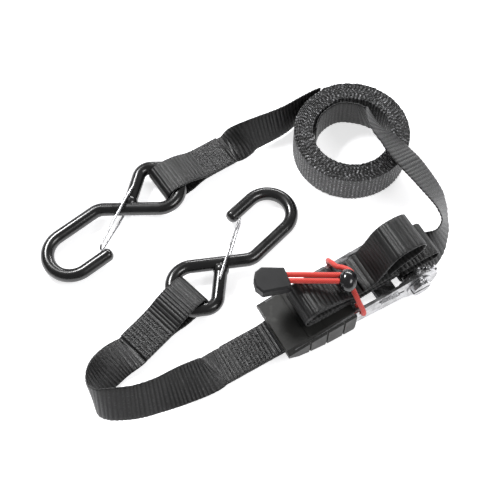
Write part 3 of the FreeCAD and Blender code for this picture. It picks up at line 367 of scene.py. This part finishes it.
# ---------------------------------------------------------------- straps
STRAP_COLUMNS = (-1, -0.985, -0.93, -0.7, -0.35, 0, 0.35, 0.7, 0.93, 0.985, 1)
ROLL_COLUMNS = (-1, -0.97, -0.85, 0, 0.85, 0.97, 1)
EDGE_FROM = 0.9  # share of the half width at which the worn edge begins


def strap(name, rows, acrosses, body, node=None, material=CLOTH, held="laid", width=WEB, depth=0.42,
          step=0.40, pitch=RIB, columns=STRAP_COLUMNS, rough_edge=0.1):
    """Ribbed webbing along rows of centres, each with the direction of the strap's width.

    depth is how far a groove goes into each face, and columns are shares of the half width.
    """
    data = np.hstack([np.array(rows, float), np.array(acrosses, float)])
    along, data = resample(data, step)
    centre, across = data[:, :3], unit(data[:, 3:6])
    tangent = unit(np.gradient(centre, axis=0))
    across = unit(across - tangent * np.sum(across * tangent, axis=1, keepdims=True))
    normal = np.cross(tangent, across)
    wobble = rng.normal(0, 0.10, 400)
    phase = along / pitch
    phase = phase + np.interp(phase, np.arange(400), wobble)
    rib = np.abs(np.sin(math.pi * phase)) ** 0.75
    half = THICK / 2 - depth * (1 - rib)
    swell = [0.35 if abs(v) == 1 else 0.75 if abs(v) > 0.98 else 1.0 for v in columns]
    waver = rng.normal(0, rough_edge, (len(along), 2))
    kernel = np.ones(3) / 3
    waver = np.stack([np.convolve(waver[:, k], kernel, "same") for k in (0, 1)], axis=1)
    upper = list(zip(columns, swell))
    profile = upper + [(v, -s) for v, s in upper[::-1]]
    verts = np.zeros((len(along), len(profile), 3))
    for j, (v, s) in enumerate(profile):
        reach = np.full(len(along), v * width / 2)
        if abs(v) > EDGE_FROM:
            side = waver[:, 0] if v < 0 else waver[:, 1]
            reach = reach + side * (0.6 + 0.4 * rib)
            reach = np.clip(reach - np.sign(v) * 0.12 * (1 - rib), -width / 2, width / 2)
        verts[:, j] = centre + across * reach[:, None] + normal * (half * s)[:, None]
    n, m = verts.shape[:2]
    faces, uvs = [], []
    ring = [v * width / 2 for v, s in profile] + [profile[0][0] * width / 2]
    for i in range(n - 1):
        for j in range(m):
            k = (j + 1) % m
            faces.append((i * m + j, i * m + k, (i + 1) * m + k, (i + 1) * m + j))
            a, b = phase[i], phase[i + 1]
            uvs += [(a, ring[j]), (a, ring[j + 1]), (b, ring[j + 1]), (b, ring[j])]
    faces.append(tuple(range(m - 1, -1, -1)))
    faces.append(tuple((n - 1) * m + j for j in range(m)))
    uvs += [(0, r) for r in ring[:m][::-1]] + [(phase[-1], r) for r in ring[:m]]
    mesh = bpy.data.meshes.new(name)
    mesh.from_pydata((verts.reshape(-1, 3) * MM).tolist(), [], faces)
    layer = mesh.uv_layers.new(name="cloth")
    layer.data.foreach_set("uv", np.array(uvs, float).ravel())
    mesh.polygons.foreach_set("use_smooth", [True] * len(faces))
    mesh.materials.append(material)
    mesh.validate()
    piece = bpy.data.objects.new(name, mesh)
    bpy.context.collection.objects.link(piece)
    if node:
        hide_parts(node)
    if body:
        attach(piece, body)
    return piece


def side_strap(name, origin, yaw, path, body, node=None, **more):
    """Strap whose side view is a soft path in the (x, z) plane of a frame on the floor."""
    flat = soft_path(path)
    rows = in_frame(origin, yaw, [(x, 0, z) for x, z in flat])
    across = np.tile(polar(1, yaw + 90), (len(rows), 1))
    return strap(name, rows, across, body, node, **more)


def twisted_strap(name, stations, body, node, **more):
    """Strap through stations (x, y, z, tilt); tilt turns its right edge upwards."""
    rows = catmull(stations, 24)
    centre = rows[:, :3] + SHIFT
    tangent = unit(np.gradient(centre, axis=0))
    right = unit(np.stack([tangent[:, 1], -tangent[:, 0], 0 * tangent[:, 0]], axis=1))
    raised = np.cross(right, tangent)
    tilt = np.radians(rows[:, 3])[:, None]
    across = right * np.cos(tilt) + raised * np.sin(tilt)
    return strap(name, centre, across, body, node, **more)


LAYER = THICK + 0.05
JOIN_Z = 6.5
FLAP_START, FLAP_END, LOOP_END = 18.0, 43.0, 22.0
LONG_SLOPE, SHORT_SLOPE = -0.0536, -0.1
ANCHOR_X, ANCHOR_Z, SLEEVE_R = 89.0, 9.0, 4.0


def layer_z(slope, along):
    return JOIN_Z + slope * (along - FLAP_START)


def hook_loop(name, eye, yaw, slope):
    foot = eye + polar(EYE_REACH, yaw)
    top = HOOK_AXIS_Z + HOOK_WIRE_R + LOOP_GAP + THICK / 2
    path = [(FLAP_END, layer_z(slope, FLAP_END) + LAYER), (30, layer_z(slope, 30) + LAYER)]
    path += [(FLAP_START, layer_z(slope, FLAP_START) + LAYER), (5, top), (-14.4, top), (-14.4, THICK / 2)]
    path += [(5.5, THICK / 2), (16, layer_z(slope, 16)), (LOOP_END, layer_z(slope, LOOP_END))]
    piece = side_strap(name + "_cloth", foot, yaw, path, None, name, held="folded")
    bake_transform(piece)
    return piece


def loop_station(eye, yaw, slope, along):
    p = eye + polar(EYE_REACH + along, yaw)
    return (p[0], p[1], layer_z(slope, along), 0)


def ratchet_station(x, z, tilt):
    p = RATCHET_AT + polar(x, RATCHET_YAW)
    return (p[0], p[1], z, tilt)


ROOT = "strap_and_frame"
long_loop = hook_loop("webbing_long_hook_loop", LONG_EYE, LONG_YAW, LONG_SLOPE)
short_loop = hook_loop("webbing_short_hook_loop", SHORT_EYE, SHORT_YAW, SHORT_SLOPE)

contact = ROLL_CENTRE + polar(ROLL_OUTER + THICK / 2 + ROLL_GAP, JOIN_ANGLE)
lead_in = contact + polar(-7, JOIN_ANGLE - 90)
stations = [loop_station(LONG_EYE, LONG_YAW, LONG_SLOPE, a) for a in (LOOP_END + 0.05, 34, 43.1, 46.3)]
stations += [(-8.5, 84.6, 7.8, -32), (-1.5, 87.6, 11.2, -56), (7.0, 91.5, 12.3, -63), (16.0, 95.9, 12.7, -68)]
stations += [(26.0, 101.7, 13.0, -74), (36.0, 110.0, 13.0, -82), (lead_in[0], lead_in[1], WEB / 2 + 0.08, -88)]
stations += [(contact[0], contact[1], WEB / 2 + 0.08, -90)]
twisted_strap("long_run_cloth", stations, ROOT, "webbing_long_run")

stations = []
for angle in (INNER_ANGLE, 150, 125, 103):
    p = ROLL_CENTRE + polar(ROLL_INNER - THICK / 2 - 1.2, angle)
    stations.append((p[0], p[1], WEB / 2 + 0.05, 90))
stations += [(79, 106.2, 13.4, 88), (85.5, 100.8, 17.0, 78), (89.6, 92.5, 25.0, 64), (90.6, 83.5, 33.6, 53)]
stations += [(94.1, 74.8, 35.7, 41), (99.6, 67.8, 34.1, 36), (105.5, 60.3, 32.9, 31), (111.9, 52.5, 31.7, 29)]
stations += [(118.3, 44.5, 30.0, 32), (125.2, 35.5, 27.5, 36), (129.7, 29.0, 25.2, 43), (133.5, 21.1, 21.6, 57)]
stations += [(135.1, 12.2, 17.3, 70), (132.7, 4.1, 13.9, 70), (127.5, -2.5, 12.3, 54), (119.8, -8.2, 13.2, 26)]
stations.append(ratchet_station(7.6, HUB_Z, 0))
twisted_strap("lead_cloth", stations, ROOT, "webbing_lead", pitch=3.0)


def anchor_layer_z(x):
    return 3.6 + 0.027 * (x + ANCHOR_X + 15)


stations = [loop_station(SHORT_EYE, SHORT_YAW, SHORT_SLOPE, a) for a in (LOOP_END + 0.05, 34, 43.1, 46.3)]
stations += [(-88.5, -85.2, 4.6, 14), (-96.0, -94.8, 7.8, 36)]
stations += [(-100.4, -103.2, 11.2, 62), (-101.7, -111.0, 13.3, 86)]
stations += [(-97.2, -117.3, 15.6, 109), (-90.5, -118.9, 16.6, 123), (-80.2, -118.5, 16.8, 127)]
stations += [(-70.2, -116.5, 15.9, 128), (-56.8, -111.1, 13.6, 132)]
stations += [(-42.9, -103.6, 10.4, 148), (-27.7, -94.9, 5.6, 168)]
stations += [ratchet_station(x, anchor_layer_z(x), 180) for x in (-145, -139.5, -125, -ANCHOR_X - 15)]
twisted_strap("short_run_cloth", stations, ROOT, "webbing_short_run")

# ---------------------------------------------------------------- coil
turns = (ROLL_OUTER - ROLL_INNER) / THICK
angles = np.radians(np.linspace(INNER_ANGLE - 60, JOIN_ANGLE + 360 * round(turns), 5200))
share = (angles - angles[0]) / (angles[-1] - angles[0])
radii = ROLL_INNER + THICK / 2 + share * (ROLL_OUTER - ROLL_INNER - THICK)
radii = radii + 0.12 * np.sin(3 * angles + 1.0) * (share > 0.1) * (share < 0.85)
spiral = np.stack([np.cos(angles) * radii, np.sin(angles) * radii, np.full(len(angles), WEB / 2)], axis=1)
spiral += ROLL_CENTRE + SHIFT
strap("coil_cloth", spiral, np.tile([0, 0, 1.0], (len(spiral), 1)), ROOT, "webbing_roll", material=ROLL_CLOTH,
      step=0.5, rough_edge=0.5, columns=ROLL_COLUMNS, held="folded")

# ---------------------------------------------------------------- anchor end
x0 = -ANCHOR_X
around = SLEEVE_R + LOOP_GAP + THICK / 2
path = [(x0 - 14.95, 3.6), (x0 - 6, 3.7), (x0 + around + 1.5, ANCHOR_Z - around)]
path += [(x0 + around + 1.5, ANCHOR_Z + around), (x0 - 5, ANCHOR_Z + around)]
path += [(x0 - 14, anchor_layer_z(x0 - 14) + LAYER)]
path += [(x0 - 30, anchor_layer_z(x0 - 30) + LAYER), (x0 - 47, anchor_layer_z(x0 - 47) + LAYER)]
side_strap("anchor_loop_cloth", RATCHET_AT, RATCHET_YAW, path, ROOT, "webbing_short_anchor_loop", held="folded")


# ---------------------------------------------------------------- tail
side_strap("spindle_strap", RATCHET_AT, RATCHET_YAW, [(-6.8, HUB_Z), (0, HUB_Z), (6.8, HUB_Z)], "spindle",
           "webbing_in_spindle", held="stretched")
bow = [(-7.7, HUB_Z), (-10.4, HUB_Z + 0.4), (-10.8, 26.2), (5, 26.8), (18.6, 27.0),
       (18.6, 36.2), (2, 36.0), (-11.9, 34.9)]
tail_loop = side_strap("tail_loop_cloth", RATCHET_AT, RATCHET_YAW, bow, None, "webbing_tail_loop",
                       material=TAIL_CLOTH, held="folded", pitch=TAIL_RIB)
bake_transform(tail_loop)

outer = [(-12.9, 31.9), (-22, 29.9), (-34, 29.2), (-46, 27.6), (-62, 27.6),
         (-83.0, 26.2), (-85.6, 33.0), (-83.0, 40.4),
         (-76, 44.2), (-60, 41.2), (-48, 35.2), (-38, 34.4), (-25, 35.0), (-13.2, 35.3)]
spine = [(-13, 33.4), (-22, 32.3), (-34, 31.8), (-46, 31.6), (-62, 34.0),
         (-77.0, 34.6), (-79.0, 35.0), (-77.0, 35.6),
         (-74, 35.8), (-60, 34.4), (-48, 31.9), (-38, 32.0), (-25, 32.6), (-13, 33.5)]
for index, inward in enumerate((0.0, 0.27, 0.54)):
    ends = slice(None) if index == 0 else slice(3, 11)
    path = [((1 - inward) * a[0] + inward * b[0], (1 - inward) * a[1] + inward * b[1])
            for a, b in zip(outer, spine)][ends]
    side_strap(f"tail_fold_{index + 1}", RATCHET_AT, RATCHET_YAW, path, "handle", None,
                            depth=0.34, material=TAIL_CLOTH, held="folded",
                            width=WEB - 0.3 * index, pitch=TAIL_RIB)
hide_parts("webbing_tail_folds")
crest = [(-41, 36.3), (-33, 38.2), (-27.5, 46), (-18.5, 63.2), (3.2, 63.4),
         (3.6, 51.5), (-13, 46.5), (-21.5, 41.0)]
side_strap("tail_crest_cloth", RATCHET_AT, RATCHET_YAW, crest, "handle", "webbing_tail_crest",
           material=TAIL_CLOTH, held="folded", pitch=TAIL_RIB, depth=0.24)


# ---------------------------------------------------------------- sewing
def sewing(name, origin, yaw, along, height, slope, node, length=23.0):
    """Dense criss-cross stitches over a sewn flap."""
    mesh = bmesh.new()
    frame_x, frame_y = polar(1, yaw), polar(1, yaw + 90)
    tilt = math.atan(slope)
    across_count, along_count = 13, 15
    sewn_width = WEB - 2.4
    for i in range(along_count):
        for j in range(across_count):
            x = (i + 0.5 + rng.uniform(-0.3, 0.3)) * length / along_count - length / 2
            y = (j + 0.5 + rng.uniform(-0.3, 0.3)) * sewn_width / across_count - sewn_width / 2
            angle = math.radians(rng.choice([-1, 1]) * rng.uniform(15, 65))
            size = rng.uniform(0.7, 1.25)
            wide = rng.uniform(0.16, 0.26)
            arch = []
            for k in range(5):
                t = k / 2 - 1
                px = x + math.cos(angle) * size * t
                py = y + math.sin(angle) * size * t
                pz = height + px * math.sin(tilt) + 0.30 * (1 - t * t) - 0.12
                arch.append((px, py, pz))
            rings = []
            for px, py, pz in arch:
                ring = []
                for side in range(6):
                    a = side * math.pi / 3
                    sy, sz = wide * math.cos(a), wide * 0.8 * math.sin(a)
                    qx, qy = px - math.sin(angle) * sy, py + math.cos(angle) * sy
                    where = origin + SHIFT + frame_x * (along + qx) + frame_y * qy + np.array([0, 0, pz + sz])
                    ring.append(mesh.verts.new(tuple(where * MM)))
                rings.append(ring)
            for a, b in zip(rings, rings[1:]):
                for side in range(6):
                    k = (side + 1) % 6
                    mesh.faces.new((a[side], a[k], b[k], b[side]))
            mesh.faces.new(rings[0][::-1])
            mesh.faces.new(rings[-1])
    data = bpy.data.meshes.new(name)
    bmesh.ops.recalc_face_normals(mesh, faces=mesh.faces)
    mesh.to_mesh(data)
    mesh.free()
    data.polygons.foreach_set("use_smooth", [True] * len(data.polygons))
    data.materials.append(THREAD)
    piece = bpy.data.objects.new(name, data)
    bpy.context.collection.objects.link(piece)
    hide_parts(node)
    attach(piece, ROOT)
    return piece


top_of = LAYER + THICK / 2
sewing("sewing_long_hook", LONG_EYE + polar(EYE_REACH, LONG_YAW), LONG_YAW, 31.0,
       layer_z(LONG_SLOPE, 31) + top_of, LONG_SLOPE, "stitching_long_hook")
sewing("sewing_short_hook", SHORT_EYE + polar(EYE_REACH, SHORT_YAW), SHORT_YAW, 31.0,
       layer_z(SHORT_SLOPE, 31) + top_of, SHORT_SLOPE, "stitching_short_hook")
sewing("sewing_anchor", RATCHET_AT, RATCHET_YAW, -118.0, anchor_layer_z(-118) + top_of, 0.027,
       "stitching_short_anchor")

# ---------------------------------------------------------------- elastic
CORD = 3.5
NEAR = [(25.0, -47.1, 49.7), (37.5, -47.0, 49.5), (49.7, -46.9, 48.9), (59.7, -46.9, 48.9), (66.7, -46.8, 48.6),
        (69.9, -50.1, 43.2), (72.2, -54.1, 40.2), (74.8, -56.9, 34.8), (77.5, -58.9, 29.2), (78.6, -59.2, 22.4),
        (75.8, -54.3, 22.3)]
FAR = [(25.0, -42.8, 49.7), (37.5, -42.7, 49.5), (49.7, -42.6, 48.9), (59.7, -42.6, 48.9), (67.5, -42.5, 48.6),
       (69.7, -39.4, 46.6), (64.9, -34.5, 43.2), (59.9, -33.3, 41.9), (56.9, -28.8, 39.6), (55.8, -25.4, 34.6),
       (55.6, -21.8, 29.0), (56.3, -20.6, 22.4), (59.2, -25.5, 22.3)]


def tube(name, points, diameter):
    data = bpy.data.curves.new(name, "CURVE")
    data.dimensions = "3D"
    line = data.splines.new("NURBS")
    line.points.add(len(points) - 1)
    for spot, point in zip(line.points, points):
        spot.co = (*[value * MM for value in point], 1)
    line.order_u = 3
    line.use_endpoint_u = True
    line.resolution_u = 8
    data.bevel_depth = diameter * MM / 2
    data.bevel_resolution = 4
    data.use_fill_caps = True
    data.materials.append(RED)
    piece = bpy.data.objects.new(name, data)
    bpy.context.collection.objects.link(piece)
    return piece


near = tube("elastic_near_cord", NEAR, CORD)
far = tube("elastic_far_cord", FAR, CORD)
for piece, node in ((near, "elastic_near"), (far, "elastic_far")):
    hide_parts(node)
    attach(piece, "handle")


def solid_copy(piece):
    """Mesh object made from a piece as it is shown."""
    graph = bpy.context.evaluated_depsgraph_get()
    mesh = bpy.data.meshes.new_from_object(piece.evaluated_get(graph))
    copy = bpy.data.objects.new(piece.name + "_copy", mesh)
    bpy.context.collection.objects.link(copy)
    return copy


# Cord stop: an oval ball with a shallow groove near each mouth. It is bored for both strands at four
# places of its travel, so that the strands, which don't move with it, stay clear of it as it slides.
BALL_RADII = (6.3, 7.7, 6.2)
BORE_GAP = 0.7
STOP_STEPS = (0, 3.5, 7, 10)
SLIDE = np.array([0.99962, 0.00542, -0.02709])  # against the axis of the joint toggle_slide
ball_mesh = bmesh.new()
bmesh.ops.create_icosphere(ball_mesh, subdivisions=5, radius=1.0)
centre = np.array([62.6, -46.6, 47.7]) + SHIFT
for v in ball_mesh.verts:
    x, y, z = v.co
    ring = math.exp(-((abs(x) - 0.62) / 0.07)**2)
    swell = 1 - 0.045 * ring
    place = centre + np.array([BALL_RADII[0] * x, BALL_RADII[1] * y * swell, BALL_RADII[2] * z * swell])
    v.co = tuple(place * MM)
ball_data = bpy.data.meshes.new("cord_stop")
ball_mesh.to_mesh(ball_data)
ball_mesh.free()
ball = bpy.data.objects.new("cord_stop", ball_data)
bpy.context.collection.objects.link(ball)
for points, shift in [(points, shift) for points in (NEAR, FAR) for shift in STOP_STEPS]:
    wide = tube("bore", [tuple(np.array(p) + SLIDE * shift) for p in points], CORD + BORE_GAP)
    bore = solid_copy(wide)
    cut = ball.modifiers.new("bore", "BOOLEAN")
    cut.operation = "DIFFERENCE"
    cut.solver = "EXACT"
    cut.object = bore
    graph = bpy.context.evaluated_depsgraph_get()
    bored = bpy.data.meshes.new_from_object(ball.evaluated_get(graph))
    ball.modifiers.clear()
    ball.data = bored
    bpy.data.objects.remove(bore)
    bpy.data.objects.remove(wide)
ball.data.materials.clear()
ball.data.materials.append(BALL)
ball.data.polygons.foreach_set("use_smooth", [True] * len(ball.data.polygons))
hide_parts("cord_toggle")
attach(ball, "cord_toggle")

# Overhand knots that hold the strands inside the arms.
for side in (-1, 1):
    middle = in_frame(RATCHET_AT, RATCHET_YAW, [(-46, side * 13.8, 22.3)])[0]
    loop = []
    for k in range(25):
        a = 2 * math.pi * k / 24
        loop.append((middle[0] + 0.8 * (math.sin(a) + 2 * math.sin(2 * a)) / 2,
                     middle[1] + 0.8 * (math.cos(a) - 2 * math.cos(2 * a)) / 2,
                     middle[2] - 0.6 * math.sin(3 * a)))
    knot = solid_copy(tube(f"knot_{side}", loop, 1.6))
    bpy.data.objects.remove(bpy.data.objects[f"knot_{side}"])
    knot.name = "knot_near" if side < 0 else "knot_far"
    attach(knot, "handle")
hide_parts("elastic_knots")

# ---------------------------------------------------------------- finishes of the carried-over parts
FINISHES = {
    "hook_long": BLACK_DIP, "hook_short": BLACK_DIP, "hook_long_gate": BRIGHT, "hook_short_gate": BRIGHT,
    "base_pawl_spring": BRIGHT, "drive_pawl_spring": BRIGHT, "base_pawl": DARK_STEEL, "handle_grip": GRIP,
    "cord_end_cap": CAP,
}
for node in ("base_frame", "handle_frame", "ratchet_wheel_near", "ratchet_wheel_far", "spindle_lower_half",
             "spindle_upper_half", "spindle_washers", "split_pins", "anchor_bolt",
             "anchor_nut", "anchor_sleeve", "drive_pawl", "drive_pawl_pull"):
    FINISHES[node] = ZINC
for node, finish in FINISHES.items():
    for place in frame["nodes"][node].material_slots:
        place.material = finish

# ---------------------------------------------------------------- floor, light, camera
floor_mesh = bmesh.new()
bmesh.ops.create_grid(floor_mesh, x_segments=8, y_segments=8, size=6.0)
floor_data = bpy.data.meshes.new("floor")
floor_mesh.to_mesh(floor_data)
floor_mesh.free()
floor = bpy.data.objects.new("floor", floor_data)
floor.location.z = -0.0004
bpy.context.collection.objects.link(floor)
paper, nodes, links, shader = new_material("paper")
fibre = add(nodes, "ShaderNodeTexNoise", Scale=60.0, Detail=2.0)
tint = ramp(nodes, links, fibre.outputs[0], [(0.3, grey(0.90)), (0.7, grey(0.93))])
links.new(tint, shader.inputs["Base Color"])
shader.inputs["Roughness"].default_value = 0.9
shader.inputs["Emission Color"].default_value = (1, 1, 1, 1)
shader.inputs["Emission Strength"].default_value = 0.68
shader.inputs["Specular IOR Level"].default_value = 0.1
floor.data.materials.append(paper)

world = bpy.data.worlds.new("studio")
world.use_nodes = True
world.node_tree.nodes["Background"].inputs["Color"].default_value = (1, 1, 1, 1)
bpy.context.scene.view_settings.view_transform = "Standard"
world.node_tree.nodes["Background"].inputs["Strength"].default_value = 0.24
bpy.context.scene.world = world
aim = Vector(((cad_low[0] + cad_high[0]) / 2, (cad_low[1] + cad_high[1]) / 2, 0.02))


def softbox(name, offset, size, power):
    data = bpy.data.lights.new(name, "AREA")
    data.shape = "RECTANGLE"
    data.size, data.size_y = size
    data.energy = power
    lamp = bpy.data.objects.new(name, data)
    lamp.location = aim + Vector(offset)
    lamp.rotation_euler = (aim - lamp.location).to_track_quat("-Z", "Y").to_euler()
    bpy.context.collection.objects.link(lamp)


softbox("key", (-0.55, 0.55, 0.85), (0.30, 0.22), 12.0)
softbox("fill", (0.7, -0.3, 0.9), (0.5, 0.3), 4.0)
softbox("back", (0.25, 1.0, 0.55), (1.0, 0.12), 8.0)

CAMERA_BACK, CAMERA_HIGH, CAMERA_LENS = 330.7, 640.7, 73.9
eye = Vector((SHIFT[0] * MM, (SHIFT[1] - CAMERA_BACK) * MM, CAMERA_HIGH * MM))
look = Vector((SHIFT[0] * MM, SHIFT[1] * MM, 0.0))
camera_data = bpy.data.cameras.new("camera")
camera_data.sensor_width = 36.0
camera_data.lens = CAMERA_LENS
camera_data.clip_start, camera_data.clip_end = 0.01, 50.0
camera = bpy.data.objects.new("camera", camera_data)
camera.location = eye
camera.rotation_euler = (look - eye).to_track_quat("-Z", "Y").to_euler()
bpy.context.collection.objects.link(camera)
bpy.context.scene.camera = camera

bpy.context.view_layer.update()
